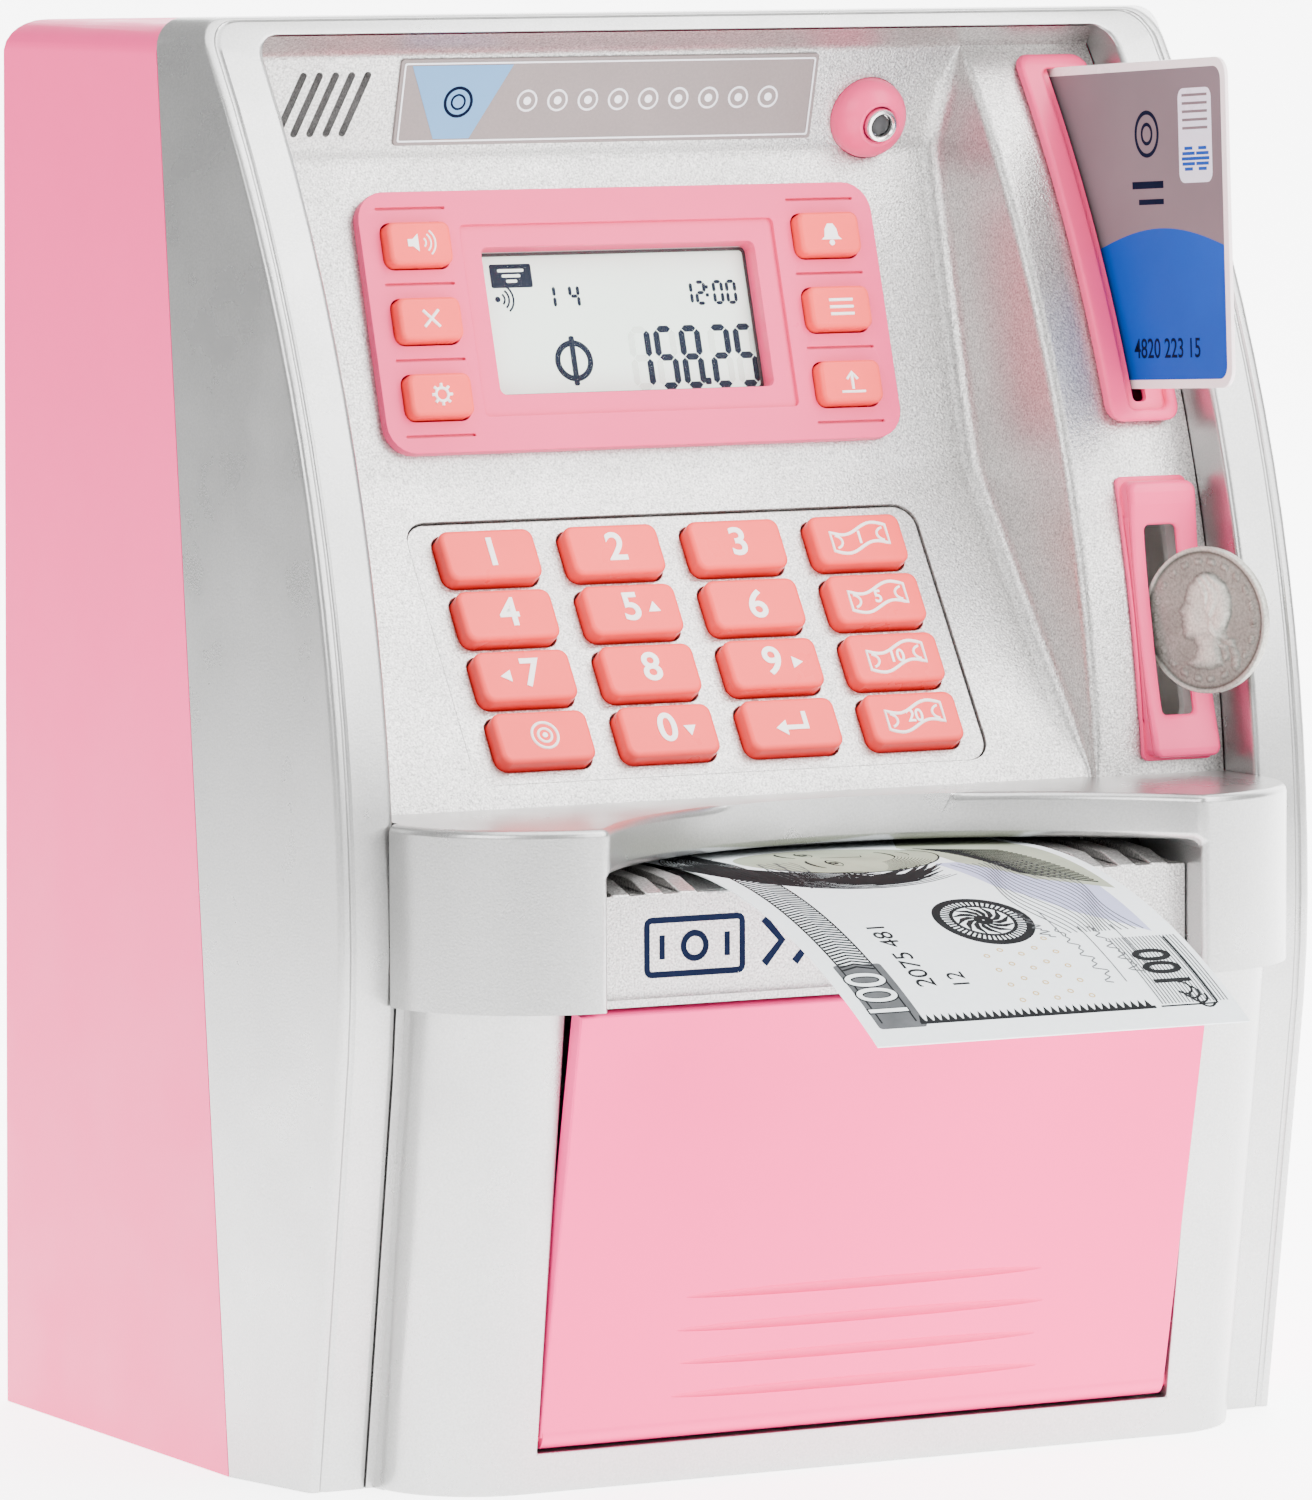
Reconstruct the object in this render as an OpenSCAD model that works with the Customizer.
// Toy cash machine that works as a money box: a leaning silver front with a keypad, a
// display, card, coin and banknote slots, and a drop-down safe door, on a pink rear cover.
// +X is the viewer's right, +Y the back, +Z up. The origin is on the flat underside,
// on the centre line, where the seam between the two halves of the case meets the floor.

/* [Case] */
// Width of the rear cover
case_w = 186.8; // [184:0.2:190]
// Height of the silver front
case_h = 233; // [232:0.5:236]
// Depth of the rear cover at the floor
rear_d = 88.5; // [86:0.5:92]
// Width of the silver front at its front edge
front_w = 178; // [176:0.5:180]
// Width of the opening between the two side strips
opening_w = 158; // [157:0.5:159]
// Thickness of the moulded walls
wall = 2.4; // [2:0.1:2.6]

/* [Keypad] */
// Width of a number key
key_w = 17; // [16:0.2:17.6]
// Length of a number key up the slope
key_l = 9.2; // [8.6:0.1:9.4]
// How far a key stands out of the panel
key_proud = 2.8; // [2.2:0.1:3.2]
// How far a key travels when pressed
key_travel = 1.2; // [0.8:0.1:1.4]
// Distance between number keys across
key_pitch_x = 22.6; // [22.2:0.1:23]
// Distance between number keys up the slope
key_pitch_s = 11.2; // [11:0.1:11.4]
// Width of a function key
fkey_w = 11.5; // [11:0.1:12]
// Length of a function key up the slope
fkey_l = 7.3; // [7:0.1:7.6]

/* [Safe door] */
// Width of the door
door_w = 114.8; // [113:0.2:115]
// Length of the door from its hinge axis to its top edge
door_l = 70.2; // [69:0.1:71]
// How far the door leans forward, in degrees
door_lean = 12.2; // [11.8:0.1:12.6]
// Radius of the hinge stubs
hinge_r = 1.5; // [1.3:0.1:1.6]

/* [Money and card] */
// Diameter of the play coin
coin_d = 24.26; // [23:0.01:24.3]
// Thickness of the play coin
coin_t = 1.75; // [1.5:0.05:1.8]
// Width of the play banknote
note_w = 66.3; // [60:0.1:67]
// Height of the play card
card_h = 53.98; // [53:0.01:54]
// Length of the play card
card_l = 85.6; // [80:0.1:86]

/* [Hidden] */
$fn = 48;
eps = 0.02;

// Colours
pink = [0.95, 0.67, 0.76];
deep_pink = [0.93, 0.57, 0.66];
coral = [0.98, 0.58, 0.55];
silver = [0.82, 0.83, 0.84];

// Front edge of the side strips: leans out from the floor, then curves back to the top.
strip_foot_y = -20.5;
knee_z = 66;
knee_y = -31.3;
crown_z = 88;
crown_y = -33.1;
crown_r = 232;
function front_y(z) =
    z < knee_z ? strip_foot_y + (knee_y - strip_foot_y) * z / knee_z :
    z < crown_z ? crown_y + (knee_y - crown_y) * pow((crown_z - z) / (crown_z - knee_z), 2) :
    crown_y + crown_r - sqrt(crown_r * crown_r - pow(z - crown_z, 2));

// The seam between the halves leans back a little.
seam_lean = 0.1;
function seam_y(z) = seam_lean * z;
seam_gap = 0.3;
corner_r = 5;
function arch_half(w, z, top, r) =
    w - (z > top - r ? r - sqrt(max(0, r * r - pow(z - top + r, 2))) : 0);
rear_h = case_h - 1;
rear_top_d = 83.5;
rear_corner_r = 7;

// Recessed control panel: three flat faces, one over the other.
recess = 10;
panel_foot = [-21, 107.8];
panel_low = [11.2, 156.5];
panel_high = [27.5, 210];
panel_top = [22.8, 227.6];
panel_cx = -10.5;
panel_t = 2.6;
column_x = 54.5;
wall_draft = 0.15;
function panel_y(z) = lookup(z, [for (p = [panel_foot, panel_low, panel_high, panel_top]) [p[1], p[0]]]);
function column_y(z) = front_y(z) + recess;
function lean_of(a, b) = atan2(b[0] - a[0], b[1] - a[1]);
key_lean = lean_of(panel_foot, panel_low);
display_lean = lean_of(panel_low, panel_high);
title_lean = lean_of(panel_high, panel_top);

// Key tray and display, as distances from the middle of their own faces
tray_w = 94;
tray_l = 48.1;
tray_z = 131.2;
tray_sink = 0.5;
tray_t = 1.8;
key_gap = 0.3;
key_depth = 3.2;
display_z = 182.7;
bezel_w = 95;
bezel_l = 43.8;
bezel_proud = 2;
window_w = 50.6;
window_l = 24.8;
fkey_x = 37.9;
fkey_pitch = 12.7;
fkey_depth = 3;
title_z = 218.7;
dome_x = 38.4;
dome_z = 214.9;
dome_r = 6.8;
speaker_x = -62.8;
speaker_z = 218.5;

// Slots in the right-hand column
card_x = 70;
card_t = 0.8;
card_tilt = 3;
card_mid = [-38.8 + card_l / 2, 196.5];
card_bezel_x = [63.3, 76.5];
card_bezel_z = [165, 225];
coin_x = 69.1;
coin_z = 133;
coin_turn = 25;
coin_out = 6.6;
coin_bezel_x = [63, 76.4];
coin_bezel_z = [109.6, 156];
coin_slot_w = 5.4;
coin_slot_z = [117.2, 148.2];
coin_wall = 1.4;

// Hood over the banknote slot, and the front of the base under it
hood_top = 107.4;
hood_foot = 78.5;
band_foot = 100;
cheek_x = 54;
cheek_w = 26.4;
cheek_front = -57.4;
arch_depth = 27;
arch_r = (cheek_x * cheek_x + arch_depth * arch_depth) / (2 * arch_depth);
pillar_x = 60;
pillar_foot_y = -38.2;
pillar_top_y = -50;
function pillar_y(z) = pillar_foot_y + (pillar_top_y - pillar_foot_y) * z / hood_foot;
base_back = -8;
slot_face_y = -51.7;
slot_lip_z = 96;

// Door hinge, low in the opening
hinge_y = -36.9;
hinge_z = 9.5;
barrel_r = 2.5;
door_back = barrel_r - 3.2;
door_gap = 0.5;
sill_z = hinge_z - barrel_r - 0.4;
jamb_x = door_w / 2 + door_gap;
latch_y = slot_face_y + wall + 5;
latch_r = 2;

// Banknote path and the rollers that pull it in
note_z = 98.4;
note_t = 0.4;
note_in = 36;
note_bend = -38;
note_out = -106;
note_drop = 21.6;
shaft_y = -18;
tyre_r = 6;
shaft_r = 2;
shaft_z = note_z - 0.4 - tyre_r;
tooth_module = 0.7;
gear_teeth = 28;
pinion_teeth = 14;
centre_d = tooth_module * (gear_teeth + pinion_teeth) / 2 + 0.12;
pinion_dir = -33;
pinion_y = shaft_y + centre_d * cos(pinion_dir);
pinion_z = shaft_z + centre_d * sin(pinion_dir);
gear_x = 49.6;
gear_w = 3.4;
plate_x = 46;

// Battery well in the back
well_x = 33;
well_z = [99, 153];
well_y = 66;
cover_t = 1.5;
cell_d = 14.3;
cell_l = 50.3;

// ---------- helpers ----------

function mean(range) = (range[0] + range[1]) / 2;

// Extrude a side view, drawn as [y, z], across X between x0 and x1
module across(x0, x1) {
    translate([x0, 0, 0]) rotate([90, 0, 90]) linear_extrude(height = x1 - x0) children();
}

// Extrude a front view, drawn as [x, z], along Y between y0 and y1
module along(y0, y1) {
    translate([0, y1, 0]) rotate([90, 0, 0]) linear_extrude(height = y1 - y0) children();
}

// Flat rectangle with round corners, centred
module rounded(w, l, r) {
    offset_x = w / 2 - r;
    offset_y = l / 2 - r;
    union() {
        square([w, l - 2 * r], center = true);
        square([w - 2 * r, l], center = true);
        for (sx = [-1, 1]) for (sy = [-1, 1]) translate([sx * offset_x, sy * offset_y]) circle(r = r);
    }
}

// Put children on a leaning face: x across, y up the slope, z out of the face
module on_face(x, z, lean) {
    translate([x, panel_y(z), z]) rotate([90 - lean, 0, 0]) children();
}
module on_keys(x = panel_cx, z = tray_z) { on_face(x, z, key_lean) children(); }
module on_display(x = panel_cx, z = display_z) { on_face(x, z, display_lean) children(); }
module on_title(x = panel_cx, z = title_z) { on_face(x, z, title_lean) children(); }

// A solid through level sections, each a loop of [x, y] seen anticlockwise from above
module skin(levels, loops) {
    n = len(loops[0]);
    m = len(levels);
    points = [for (k = [0:m - 1]) for (p = loops[k]) [p[0], p[1], levels[k]]];
    sides = [for (k = [0:m - 2]) for (i = [0:n - 1])
        let (a = k * n + i, b = k * n + (i + 1) % n) each [[a, a + n, b + n], [a, b + n, b]]];
    polyhedron(points = points, faces = concat([[for (i = [0:n - 1]) i]],
        [[for (i = [n - 1:-1:0]) (m - 1) * n + i]], sides), convexity = 8);
}

// Four-sided loop, wider or narrower at the back
function band_loop(wf, yf, wb, yb) = [[-wf, yf], [wf, yf], [wb, yb], [-wb, yb]];

// A thin strip that follows a curved front between two offsets, as a side view
module strip_side(z0, z1, near, far, steps = 12) {
    zs = [for (i = [0:steps]) z0 + (z1 - z0) * i / steps];
    polygon(concat([for (z = zs) [front_y(z) + near, z]],
        [for (i = [steps:-1:0]) [front_y(zs[i]) + far, zs[i]]]));
}

// Involute spur gear, as a flat outline with its first tooth on +X
function involute(rb, t) = rb * [cos(t) + t * PI / 180 * sin(t), sin(t) - t * PI / 180 * cos(t)];
function turned(p, a) = [p[0] * cos(a) - p[1] * sin(a), p[0] * sin(a) + p[1] * cos(a)];
module gear_outline(teeth, backlash = 0.14) {
    rp = tooth_module * teeth / 2;
    rb = rp * cos(20);
    ra = rp + 0.85 * tooth_module;
    rr = rp - 1.15 * tooth_module;
    t_pitch = sqrt(pow(rp / rb, 2) - 1) * 180 / PI;
    at_pitch = atan2(involute(rb, t_pitch)[1], involute(rb, t_pitch)[0]);
    half = 90 / teeth - backlash / 2 / rp * 180 / PI + at_pitch;
    t_tip = sqrt(pow(ra / rb, 2) - 1) * 180 / PI;
    flank = [for (i = [0:4]) turned(involute(rb, t_tip * i / 4), -half)];
    tooth = concat([turned([rr, 0], -half)], flank,
        [for (i = [4:-1:0]) [flank[i][0], -flank[i][1]]], [turned([rr, 0], half)]);
    polygon([for (k = [0:teeth - 1]) for (p = tooth) turned(p, 360 * k / teeth)]);
}

// ---------- case ----------

module rear_side(t) {
    r = rear_corner_r - t;
    top = rear_h - t;
    back = rear_top_d - t;
    polygon(concat([[seam_y(-t) + seam_gap - 2 * t, t > 0 ? -1 : 0], [rear_d - t, t > 0 ? -1 : 0]],
        [for (a = [0:15:90]) [back - r + r * cos(a), top - r + r * sin(a)]],
        [[seam_y(top) + seam_gap - 2 * t, top]]));
}

module front_outline(w, h, r) {
    polygon(concat([[-w, -2], [w, -2]], [for (a = [0:15:90]) [w - r + r * cos(a), h - r + r * sin(a)]],
        [for (a = [90:15:180]) [-w + r + r * cos(a), h - r + r * sin(a)]]));
}

screw_spots = [for (x = [-78, 78]) for (z = [16, 116, 212]) [x, z]];
function back_y(z) = rear_d + (rear_top_d - rear_d) * z / (rear_h - rear_corner_r);
back_lean = atan2(rear_d - rear_top_d, rear_h - rear_corner_r);
module on_back(z) { translate([0, back_y(z), z]) rotate([back_lean, 0, 0]) rotate([90, 0, 0]) children(); }

module rear_cover() {
    color(pink) difference() {
        union() {
            difference() {
                intersection() {
                    across(-case_w / 2, case_w / 2) rear_side(0);
                    along(-5, 100) front_outline(case_w / 2, rear_h, corner_r);
                }
                intersection() {
                    across(wall - case_w / 2, case_w / 2 - wall) rear_side(wall);
                    along(-5, 100) front_outline(case_w / 2 - wall, rear_h - wall, corner_r - wall);
                }
            }
            for (s = screw_spots) translate([s[0], back_y(s[1]) - 1, s[1]]) rotate([90, 0, 0])
                cylinder(r = 4.5, h = 13);
            translate([-well_x, well_y, well_z[0]])
                cube([2 * well_x, back_y(well_z[1]) - well_y - 1, well_z[1] - well_z[0]]);
        }
        for (s = screw_spots) translate([s[0], back_y(s[1]) + 3, s[1]]) rotate([90, 0, 0]) {
            cylinder(r = 3.4, h = 6);
            cylinder(r = 1.4, h = 20);
        }
        translate([-well_x + 1.8, well_y + 1.8, well_z[0] + 1.8])
            cube([2 * well_x - 3.6, 40, well_z[1] - well_z[0] - 3.6]);
        on_back(mean(well_z)) translate([0, 0, -4]) linear_extrude(height = 4 + cover_t + 0.3)
            rounded(2 * well_x + 2, well_z[1] - well_z[0] + 2, 2);
    }
}

// Heights at which the curved front is sampled
front_levels = concat([0, 22, 44, 66, 77, 88], [for (z = [100:12:220]) z], [226],
    [for (a = [0:22.5:90]) case_h - corner_r + corner_r * sin(a)]);
function front_loops(t) = [for (z = front_levels) let (zz = min(z, case_h - t)) band_loop(
    arch_half(front_w / 2 - t, zz, case_h - t, corner_r - t), front_y(z) + t,
    arch_half(case_w / 2 - t, zz, case_h - t, corner_r - t), seam_y(z) + (t > 0 ? 2 : 0))];

module front_opening(y0, y1) {
    along(y0, y1) front_outline(opening_w / 2, case_h - 3, 4);
}

module front_frame() {
    inner_levels = [for (z = front_levels) if (z < case_h - corner_r) z];
    lip_x = opening_w / 2 + 2;
    color(silver) difference() {
        union() {
            difference() {
                skin(front_levels, front_loops(0));
                skin(concat([-1], [for (i = [1:len(inner_levels) - 1]) inner_levels[i]], [case_h - wall]),
                    concat([for (z = inner_levels) band_loop(front_w / 2 - wall, front_y(z) + wall,
                        case_w / 2 - wall, seam_y(z) + 2)],
                        [band_loop(front_w / 2 - wall - 1.5, front_y(case_h - wall) + wall,
                        case_w / 2 - wall - 1.5, seam_y(case_h) + 2)]));
            }
            skin(inner_levels, [for (z = inner_levels)
                band_loop(lip_x, front_y(z) + 0.5, lip_x, front_y(z) + recess)]);
        }
        front_opening(-60, 60);
    }
}

module fascia() {
    levels = concat([panel_foot[1]], [for (z = [116:8:148]) z], [for (z = [156.5:10.7:210]) z],
        [219, 228.5]);
    back = [for (z = levels) panel_y(z) + panel_t - 0.4];
    near = [for (z = levels) min(column_y(z), panel_y(z))];
    function side_loop(i, x, way) = let (y0 = near[i], y1 = back[i], dx = way * wall_draft * (y1 - y0))
        [[x, y0], [x + wall, y0], [x + wall - dx, y1], [x - dx, y1]];
    color(silver) difference() {
        union() {
            across(1.4 - opening_w / 2, column_x - 1) polygon(concat(
                [panel_foot, panel_low, panel_high, [panel_y(228.5), 228.5]],
                [for (p = [[panel_y(228.5), 228.5], panel_high, panel_low, panel_foot]) p + [panel_t, 0]]));
            across(column_x, opening_w / 2 - 0.2) strip_side(panel_foot[1], 228.5, recess, recess + wall);
            skin(levels, [for (i = [0:len(levels) - 1]) side_loop(i, column_x, 1)]);
            skin(levels, [for (i = [0:len(levels) - 1]) side_loop(i, 0.2 - opening_w / 2, -1)]);
            across(0.2 - opening_w / 2, opening_w / 2 - 0.2)
                polygon([[panel_top[0], panel_top[1]], [panel_top[0] - 5.6, case_h - 3.3],
                    [panel_top[0] - 2.6, case_h - 3.3], [panel_top[0] + 3, panel_top[1]]]);
        }
        on_keys() translate([0, 0, -10]) linear_extrude(height = 20) rounded(tray_w + 0.3, tray_l + 0.3, 4);
        on_display() translate([0, 0, -10]) linear_extrude(height = 20) rounded(bezel_w - 7, bezel_l - 7, 3);
        for (i = [0:4]) on_title(speaker_x + 2 * 2.9 - 2.9 * i, speaker_z) rotate([0, 0, -20])
            translate([0, 0, -6]) linear_extrude(height = 12) rounded(1.3, 11.5, 0.6);
        on_title(dome_x, dome_z) translate([0, 0, -8]) cylinder(r = dome_r + 0.1, h = 20);
        along(-40, 60) translate([mean(card_bezel_x), mean(card_bezel_z)]) rounded(9, 56.5, 2);
        along(-40, 60) translate([coin_x, mean(coin_slot_z)]) rounded(10, 35, 2);
    }
}

// Outline of the hood seen from above, inset by t
function hood_outline(t) = let (x0 = opening_w / 2 - 0.2 - t, xc = cheek_x + cheek_w - t, y0 = -33.3)
    concat([[-x0, -18], [-x0, y0], [-xc, y0]],
        [for (a = [0:10:90]) [-cheek_x - (cheek_w - t) * cos(a), y0 + (cheek_front + t - y0) * sin(a)]],
        [for (a = [90:-10:0]) [cheek_x + (cheek_w - t) * cos(a), y0 + (cheek_front + t - y0) * sin(a)]],
        [[xc, y0], [x0, y0], [x0, -18]]);

module hood() {
    color(silver) difference() {
        translate([0, 0, hood_foot]) linear_extrude(height = hood_top - hood_foot) polygon(hood_outline(0));
        for (s = [-1, 1]) intersection() {
            translate([0, 0, hood_foot - 1]) linear_extrude(height = hood_top - wall - hood_foot + 1)
                polygon(hood_outline(wall));
            translate([s > 0 ? cheek_x + wall : -cheek_x - wall - 40, -70, 0]) cube([40, 60, 200]);
        }
        translate([-cheek_x, -70, hood_foot - 1]) cube([2 * cheek_x, 60, band_foot - hood_foot + 1]);
        translate([-cheek_x, -28, hood_foot]) cube([2 * cheek_x, 20, hood_top - wall - hood_foot]);
        translate([0, cheek_front + arch_depth - arch_r, 90]) cylinder(r = arch_r, h = 40, $fn = 144);
    }
}

// Outline of the base front seen from above at height z, inset by t
function base_loop(z, t) = let (x0 = opening_w / 2 - 0.1 - t, y0 = front_y(z), xf = pillar_x, w = 17.5 - t)
    concat([[-x0, min(y0 + 16, base_back)], [-x0, y0 + 0.3 + t], [-xf - w, y0 + 0.3 + t]],
        [for (a = [10:10:90]) [-xf - w * cos(a), y0 + t + (pillar_y(z) - y0) * sin(a)]],
        [for (a = [90:-10:10]) [xf + w * cos(a), y0 + t + (pillar_y(z) - y0) * sin(a)]],
        [[xf + w, y0 + 0.3 + t], [x0, y0 + 0.3 + t], [x0, min(y0 + 16, base_back)]]);

module base_front() {
    levels = [0, 22, 44, 66, hood_foot];
    post_x = jamb_x + wall;
    color(silver) difference() {
        skin(levels, [for (z = levels) base_loop(z, 0)]);
        for (s = [-1, 1]) intersection() {
            skin([-1, 22, 44, 66, hood_foot - wall], [for (z = levels) base_loop(min(z, hood_foot), wall)]);
            translate([s > 0 ? post_x : -post_x - 40, -60, -2]) cube([40, 80, 100]);
        }
        translate([-jamb_x, -70, sill_z]) cube([2 * jamb_x, 90, 100]);
        translate([-jamb_x, -33, -1]) cube([2 * jamb_x, 60, 50]);
        translate([-post_x - 0.2, hinge_y, hinge_z]) rotate([0, 90, 0])
            cylinder(r = hinge_r + 0.08, h = 2 * post_x + 0.4);
    }
}

module base_plate() {
    side = case_w / 2 - wall - 0.4;
    post_x = jamb_x + wall + 0.2;
    color(pink) linear_extrude(height = wall) {
        translate([-side, 1]) square([2 * side, rear_d - wall - 1.6]);
        translate([-jamb_x + 0.2, -32.6]) square([2 * jamb_x - 0.4, 36]);
        for (s = [-1, 1]) {
            intersection() {
                polygon(base_loop(0, wall + 0.3));
                translate([s > 0 ? post_x : -post_x - 40, -60]) square([40, 53]);
            }
            translate([s > 0 ? post_x : -76, base_back - 1]) square([76 - post_x, 3]);
            translate([s > 0 ? post_x : -88, base_back + 0.4]) square([88 - post_x, 9]);
            translate([s > 0 ? 81.3 : -85.8, -17.4]) square([4.5, 12]);
        }
    }
}

// ---------- banknote slot ----------

module slot_panel() {
    half = cheek_x - 0.3;
    color(silver) union() {
        translate([-half, slot_face_y, hood_foot + 1]) cube([2 * half, wall, slot_lip_z - hood_foot - 1]);
        translate([-half, slot_face_y - 1.4, hood_foot + 0.1]) cube([2 * half, wall + 1.4, 1.2]);
        across(-half, half) polygon([[slot_face_y, 94], [slot_face_y, slot_lip_z - 0.6],
            [-38, 97.2], [-30, 97.2], [-30, 95.4], [-38, 95.4]]);
        for (s = [-1, 1]) for (i = [0:2]) across(s * (37 + 6 * i) - 1.6, s * (37 + 6 * i) + 1.6)
            polygon([[slot_face_y, 95], [slot_face_y, slot_lip_z + 0.2], [-46, 98], [-38, 98.6], [-30, 98.6],
                [-30, 96], [-38, 96]]);
    }
}

function note_height(y) = let (t = max(0, note_bend - y) / (note_bend - note_out)) note_z - note_drop * t * t;

module play_banknote() {
    ys = concat([note_in], [for (i = [0:12]) note_bend + (note_out - note_bend) * i / 12]);
    color([0.86, 0.9, 0.84]) across(-note_w / 2, note_w / 2) polygon(concat(
        [for (y = ys) [y, note_height(y)]],
        [for (i = [len(ys) - 1:-1:0]) [ys[i], note_height(ys[i]) + note_t]]));
}

module feed_frame() {
    plate_t = 2;
    color("dimgray") difference() {
        union() {
            for (x = [-plate_x - plate_t, plate_x]) translate([x, -28, 77])
                cube([plate_t, 36, hood_top - wall - 77]);
            translate([-plate_x - 0.1, -27, note_z + note_t + 0.8]) cube([2 * plate_x + 0.2, 33, 2]);
            translate([-plate_x - 0.1, 2, 86]) cube([2 * plate_x - 26, 3, 8]);
        }
        translate([-60, shaft_y, shaft_z]) rotate([0, 90, 0]) cylinder(r = shaft_r + 0.06, h = 120);
        translate([40, pinion_y, pinion_z]) rotate([0, 90, 0]) cylinder(r = 3, h = 20);
    }
}

module feed_shaft() {
    color("silver") translate([-50, shaft_y, shaft_z]) rotate([0, 90, 0])
        cylinder(r = shaft_r, h = gear_x + gear_w + 51);
}

module feed_tyres() {
    color("dimgray") for (x = [-28, 18]) translate([x, shaft_y, shaft_z]) rotate([0, 90, 0]) difference() {
        cylinder(r = tyre_r, h = 10);
        translate([0, 0, -1]) cylinder(r = shaft_r, h = 12);
    }
}

module drive_gear() {
    color("white") translate([gear_x, shaft_y, shaft_z]) rotate([0, 90, 0]) rotate([0, 0, 90]) difference() {
        linear_extrude(height = gear_w) rotate([0, 0, pinion_dir]) gear_outline(gear_teeth);
        translate([0, 0, -1]) cylinder(r = shaft_r, h = gear_w + 2);
    }
}

module motor_pinion() {
    color("goldenrod") translate([0, pinion_y, pinion_z]) rotate([0, 90, 0]) rotate([0, 0, 90]) union() {
        translate([0, 0, gear_x]) linear_extrude(height = gear_w)
            rotate([0, 0, pinion_dir + 180 + 180 / pinion_teeth]) gear_outline(pinion_teeth);
        translate([0, 0, 43]) cylinder(r = 1, h = gear_x - 43 + eps);
    }
}

module feed_motor() {
    color("silver") translate([0, pinion_y, pinion_z]) rotate([0, 90, 0]) difference() {
        translate([0, 0, 22]) cylinder(r = 8, h = plate_x - 22);
        translate([0, 0, 42]) cylinder(r = 1.08, h = 10);
    }
}

// ---------- controls ----------

function key_place(r, c) = [panel_cx + (c - 1.5) * key_pitch_x, (1.5 - r) * key_pitch_s];
function key_name(r, c) = str("key_", r + 1, "_", ["a", "b", "c", "d"][c]);

module key_tray() {
    color(silver) on_keys(0) difference() {
        translate([panel_cx, 0, -tray_sink - tray_t]) linear_extrude(height = tray_t)
            rounded(tray_w, tray_l, 3.85);
        for (r = [0:3]) for (c = [0:3]) translate([key_place(r, c)[0], key_place(r, c)[1], -5])
            linear_extrude(height = 10) rounded(key_w + 2 * key_gap, key_l + 2 * key_gap, 2.1);
    }
}

module number_key(r, c) {
    color(coral) on_keys(0) translate([key_place(r, c)[0], key_place(r, c)[1], -key_depth])
        linear_extrude(height = key_proud + key_depth - tray_sink) rounded(key_w, key_l, 1.8);
}

module function_key(side, r) {
    color(coral) on_display() translate([side * fkey_x, (2 - r) * fkey_pitch, -fkey_depth])
        linear_extrude(height = fkey_depth + bezel_proud + 2.3) rounded(fkey_w, fkey_l, 1.5);
}

module display_bezel() {
    color(deep_pink) on_display() difference() {
        union() {
            linear_extrude(height = bezel_proud) rounded(bezel_w, bezel_l, 5);
            translate([0, 0, -2.4]) linear_extrude(height = 3) rounded(bezel_w - 7.4, bezel_l - 7.4, 2.8);
        }
        translate([-0.4, 0, -5]) linear_extrude(height = 10) rounded(window_w, window_l, 1.2);
        for (s = [-1, 1]) for (r = [1:3]) translate([s * fkey_x, (2 - r) * fkey_pitch, -5])
            linear_extrude(height = 10) rounded(fkey_w + 2 * key_gap, fkey_l + 2 * key_gap, 1.8);
    }
}

module display_lens() {
    color([0.85, 0.9, 0.88, 0.5]) on_display() translate([-0.4, 0, -2.4])
        linear_extrude(height = 1) rounded(window_w - 0.3, window_l - 0.3, 1);
}

module lcd_panel() {
    color([0.75, 0.78, 0.72]) on_display() translate([-0.4, 0, -5.2])
        linear_extrude(height = 2.8) rounded(window_w + 6, window_l + 4, 0.6);
}

module title_plate() {
    color([0.69, 0.66, 0.66]) on_title() translate([-0.4, 0, 0]) linear_extrude(height = 0.5)
        rounded(77.3, 14.6, 0.5);
}

module speaker() {
    color("dimgray") on_title(speaker_x, speaker_z) translate([0, 0, -panel_t - 5.2]) {
        cylinder(r = 8.6, h = 5);
        translate([0, 0, -3]) cylinder(r = 5, h = 3 + eps);
    }
}

module alarm_dome() {
    color(deep_pink) on_title(dome_x, dome_z) difference() {
        rotate_extrude() polygon(concat([[0, -3], [dome_r, -3], [dome_r, 0.6]],
            [for (a = [15:15:60]) [dome_r * cos(a), 0.6 + 5.4 * sin(a)]], [[0, 0.6 + 5.4 * sin(60)]]));
        translate([0, 0, 3]) cylinder(r = 2.9, h = 5);
    }
}

module alarm_ring() {
    color("silver") on_title(dome_x, dome_z) difference() {
        translate([0, 0, 3]) cylinder(r = 2.8, h = 3);
        translate([0, 0, 5]) cylinder(r = 1.8, h = 5);
    }
}

// Rubber mat under both groups of keys, with a dome for each key
module key_mat() {
    drop = key_depth + key_travel + 0.3;
    fdrop = 5.6;
    color("gainsboro") union() {
        on_keys() translate([0, 0, -drop - 1]) linear_extrude(height = 1) rounded(tray_w - 4, tray_l - 2, 3);
        for (s = [-1, 1]) on_display() translate([s * (fkey_x - 0.6), 0, -fdrop]) linear_extrude(height = 1)
            rounded(14, 37, 2);
    }
}

module key_board() {
    color("darkgreen") on_keys() translate([0, 0, -key_depth - key_travel - 2.9])
        linear_extrude(height = 1.6) rounded(tray_w - 2, tray_l - 1, 1);
}

module main_board() {
    color("darkgreen") on_display() union() {
        translate([0, 0, -7.2]) linear_extrude(height = 1.6) rounded(96, 42, 1);
        translate([-20, -6, -9.6]) cube([14, 14, 2.5]);
        translate([10, 4, -8.8]) cube([20, 8, 1.7]);
        for (x = [-36, -32, 34]) translate([x, -12, -13]) cylinder(r = 2.5, h = 6);
    }
}

// ---------- card and coin ----------

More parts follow.
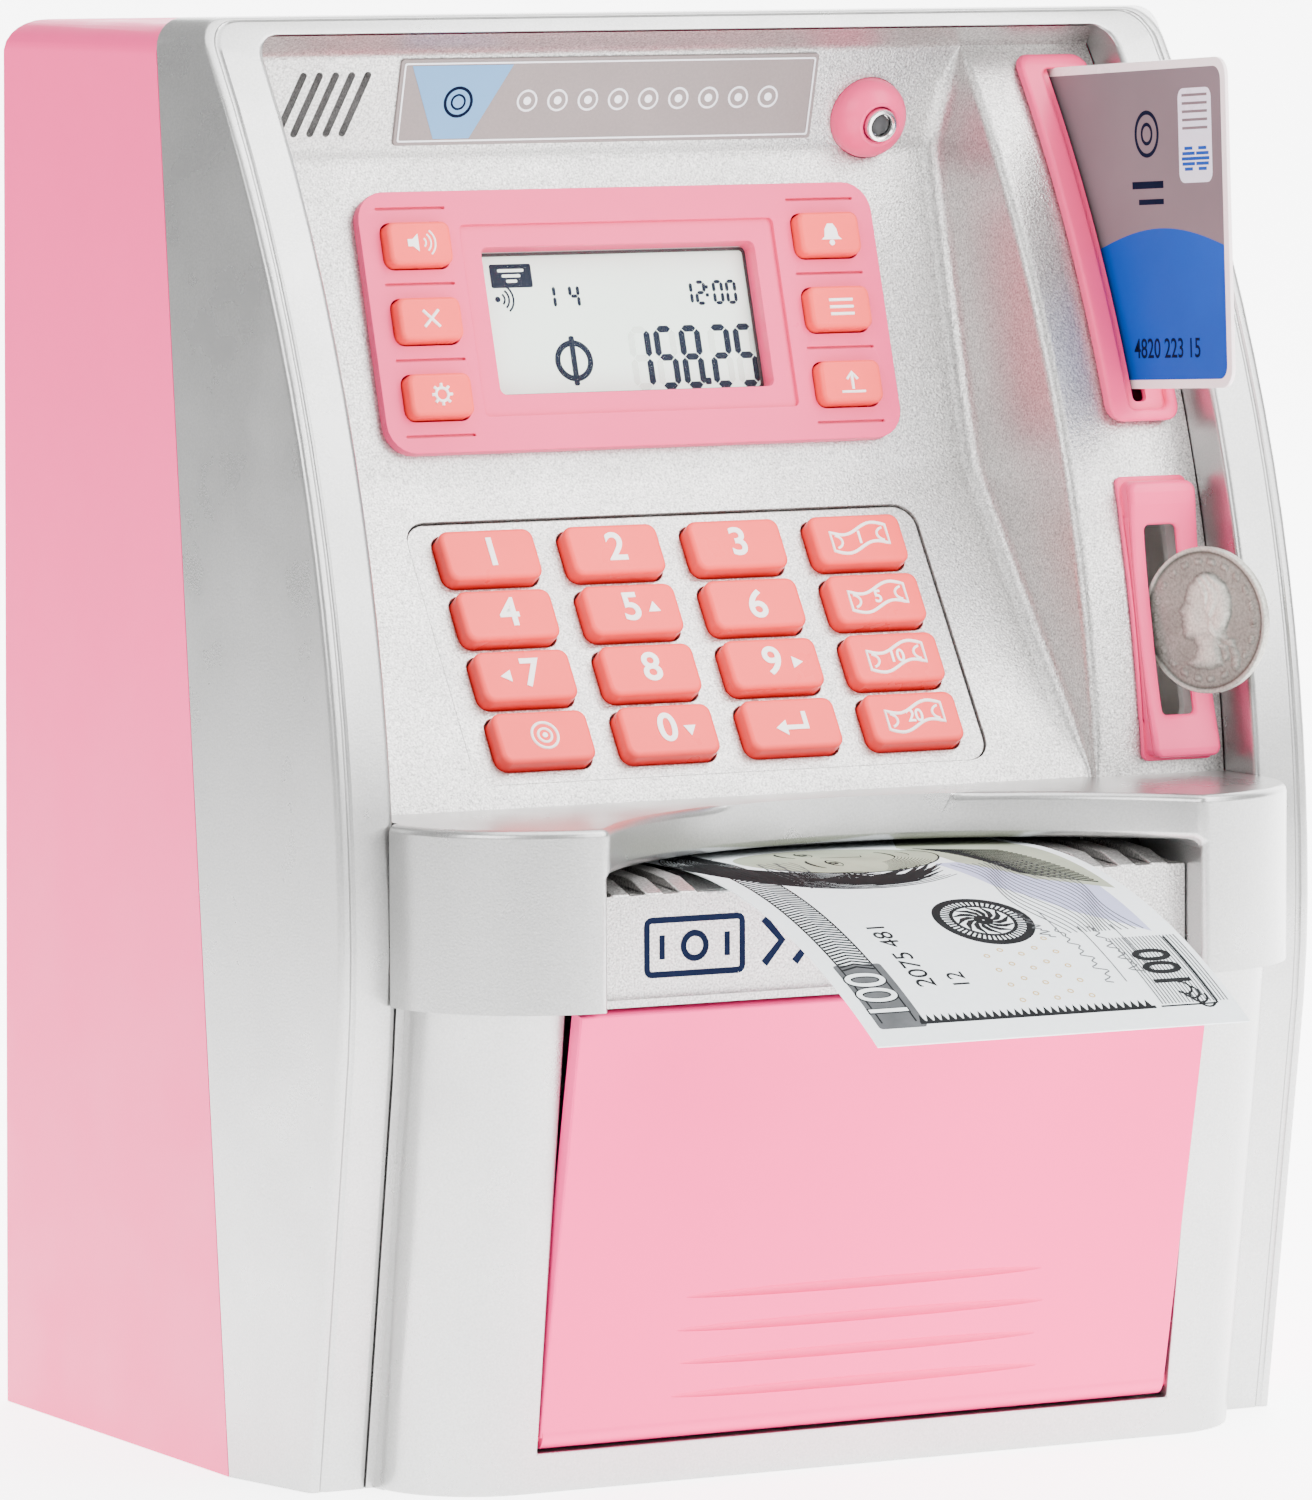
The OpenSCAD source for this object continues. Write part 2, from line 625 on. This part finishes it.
module card_bezel() {
    mid_z = (card_bezel_z[0] + card_bezel_z[1]) / 2;
    mid_x = (card_bezel_x[0] + card_bezel_x[1]) / 2;
    color(deep_pink) difference() {
        intersection() {
            across(card_bezel_x[0], card_bezel_x[1])
                strip_side(card_bezel_z[0], card_bezel_z[1], recess - 2.6, recess, 8);
            along(-60, 60) translate([mid_x, mid_z])
                rounded(card_bezel_x[1] - card_bezel_x[0], card_bezel_z[1] - card_bezel_z[0], 2.5);
        }
        intersection() {
            across(card_bezel_x[0], card_bezel_x[1])
                strip_side(card_bezel_z[0], card_bezel_z[1], recess - 5, recess - 1.2, 8);
            along(-60, 60) translate([mid_x + 1, mid_z - 0.2]) rounded(7.4, 55.6, 1.5);
        }
        along(-60, 60) translate([card_x, mid_z + 0.6]) rounded(2.6, 55, 0.8);
    }
}

// Put children in the card's own frame: x across it, y into the case, z up
module in_card_frame() {
    translate([card_x, card_mid[0], card_mid[1]]) rotate([-card_tilt, 0, 0]) children();
}

module play_card() {
    color([0.55, 0.52, 0.58]) in_card_frame() rotate([90, 0, 90])
        translate([0, 0, -card_t / 2]) linear_extrude(height = card_t) rounded(card_l, card_h, 3.2);
}

module card_reader() {
    color("dimgray") in_card_frame() difference() {
        translate([-4, 23, -31]) cube([8, 24, 62]);
        translate([-card_t / 2 - 0.4, 0, -card_h / 2 - 0.5])
            cube([card_t + 0.8, card_l / 2 + 0.4, card_h + 1]);
    }
}

module coin_bezel() {
    mid_z = mean(coin_slot_z);
    color(deep_pink) difference() {
        union() {
            across(coin_bezel_x[0], coin_bezel_x[1])
                strip_side(coin_bezel_z[0], coin_bezel_z[1], recess - 1.4, recess, 8);
            across(coin_bezel_x[0] + 1.6, coin_bezel_x[1] - 0.6)
                strip_side(coin_bezel_z[0] + 2, coin_bezel_z[1] - 2, recess - 4.2, recess - 1, 8);
        }
        intersection() {
            across(coin_x - 4.6, coin_x + 4.8) strip_side(coin_bezel_z[0] + 4, coin_bezel_z[1] - 4,
                recess - 4.2 + coin_wall, recess + 2, 8);
            along(-60, 60) translate([coin_x, mid_z]) rounded(12, 33.5, 1);
        }
        along(-60, 60) translate([coin_x, mid_z]) rounded(coin_slot_w, coin_slot_z[1] - coin_slot_z[0], 1);
    }
}

module play_coin() {
    slot_y = front_y(coin_z) + recess - 4.2 + coin_wall / 2;
    color("silver")
        translate([coin_x + coin_out * sin(coin_turn), slot_y - coin_out * cos(coin_turn), coin_z])
            rotate([0, 0, coin_turn]) rotate([0, 90, 0]) translate([0, 0, -coin_t / 2])
                cylinder(d = coin_d, h = coin_t, $fn = 96);
}

// Channel that takes the coin from its slot down to the cash box
module chute_side(t, over) {
    front = column_y(152) + wall + 0.4 + t;
    foot = column_y(116) + wall + 0.4 + t;
    polygon([[front, 152 + over], [17 - t, 152 + over], [17 - t, 116 + t], [25 - t, 98 + t],
        [25 - t, 77 - over], [-5 + t, 77 - over], [-5 + t, 97 - t], [foot, 112 - t], [foot, 118]]);
}

module coin_chute() {
    x0 = 58.4;
    x1 = 77.6;
    t = 1.6;
    color("gainsboro") difference() {
        across(x0, x1) chute_side(0, 0);
        across(x0 + t, x1 - t) chute_side(t, 1);
        along(-25, -5) translate([coin_x - 2.2, mean(coin_slot_z)]) rounded(13, 34, 2);
    }
}

// ---------- safe ----------

module cash_box() {
    t = 1.8;
    color("gainsboro") difference() {
        union() {
            translate([-78.6, -4.6, wall]) cube([157.2, 64.6, 70]);
            translate([-jamb_x + 0.2, -32, wall]) cube([2 * jamb_x - 0.4, 28, 70]);
        }
        translate([-78.6 + t, -4.6 + t, wall + t]) cube([157.2 - 2 * t, 64.6 - 2 * t, 90]);
        translate([-jamb_x + 0.2 + t, -40, wall + t]) cube([2 * jamb_x - 0.4 - 2 * t, 60, 90]);
    }
}

module on_door() { translate([0, hinge_y, hinge_z]) rotate([90 + door_lean, 0, 0]) children(); }

// bracket behind the door that the latch plunger drops into, fixed with a hairline gap
module latch_keeper() {
    difference() {
        translate([-6, latch_y - 8, 72.4]) cube([12, 13, 2.6]);
        translate([-latch_r - 1, latch_y - latch_r - 1, 70]) cube([2 * latch_r + 2, 2 * latch_r + 2, 8]);
        on_door() translate([-8, 0, door_back - 0.05]) cube([16, door_l + 10, 8]);
    }
}

module safe_door() {
    pin_end = jamb_x + wall - 0.3;
    barrel_x = door_w / 2 - 0.4;
    color(pink) union() {
        on_door() translate([-door_w / 2, 0, door_back]) cube([door_w, door_l, 3]);
        translate([-barrel_x, hinge_y, hinge_z]) rotate([0, 90, 0]) cylinder(r = barrel_r, h = 2 * barrel_x);
        for (x = [-45, 45]) on_door() translate([x - 1, 6, -3.2]) cube([2, door_l - 14, 3]);
        latch_keeper();
        translate([-pin_end, hinge_y, hinge_z]) rotate([0, 90, 0]) cylinder(r = hinge_r, h = 2 * pin_end);
    }
}

module latch_solenoid() {
    color("dimgray") difference() {
        translate([-9, slot_face_y + wall, 82.5]) cube([18, 10, 11]);
        translate([0, latch_y, 80]) cylinder(r = latch_r + 0.08, h = 12.5);
    }
}

module latch_plunger() {
    color("silver") translate([0, latch_y, 76.6]) cylinder(r = latch_r, h = 14.6);
}

// ---------- power and fasteners ----------

module batteries() {
    color("seagreen") for (i = [0:2])
        translate([-cell_l / 2, well_y + 1.9 + cell_d / 2, well_z[0] + 9.8 + i * 16.6])
            rotate([0, 90, 0]) union() {
                cylinder(d = cell_d, h = cell_l - 1.2);
                translate([0, 0, cell_l - 1.2 - eps]) cylinder(d = 5.4, h = 1.2);
            }
}

module battery_cover() {
    color(pink) on_back(mean(well_z)) difference() {
        linear_extrude(height = cover_t) rounded(2 * well_x + 1.2, well_z[1] - well_z[0] + 1.2, 1.6);
        for (i = [0:4]) translate([-9, 12 + 2.2 * i, -1]) cube([18, 1, 1.5]);
    }
}

module screws() {
    color("silver") for (s = screw_spots)
        translate([s[0], back_y(s[1]) - 3, s[1]]) rotate([90, 0, 0]) difference() {
        union() {
            translate([0, 0, -2]) cylinder(r = 3, h = 2);
            cylinder(r = 1.25, h = 9);
        }
        for (a = [0, 90]) rotate([0, 0, a]) translate([-2, -0.35, -2.6]) cube([4, 0.7, 1.4]);
    }
}

rear_cover();
front_frame();
fascia();
hood();
base_front();
base_plate();
slot_panel();
key_tray();
display_bezel();
display_lens();
lcd_panel();
title_plate();
speaker();
alarm_dome();
alarm_ring();
card_bezel();
card_reader();
coin_bezel();
coin_chute();
key_mat();
key_board();
main_board();
feed_frame();
feed_motor();
feed_shaft();
feed_tyres();
drive_gear();
motor_pinion();
cash_box();
safe_door();
latch_solenoid();
latch_plunger();
batteries();
battery_cover();
screws();
play_card();
play_coin();
play_banknote();
for (r = [0:3]) for (c = [0:3]) number_key(r, c);
for (r = [1:3]) function_key(-1, r);
for (r = [1:3]) function_key(1, r);
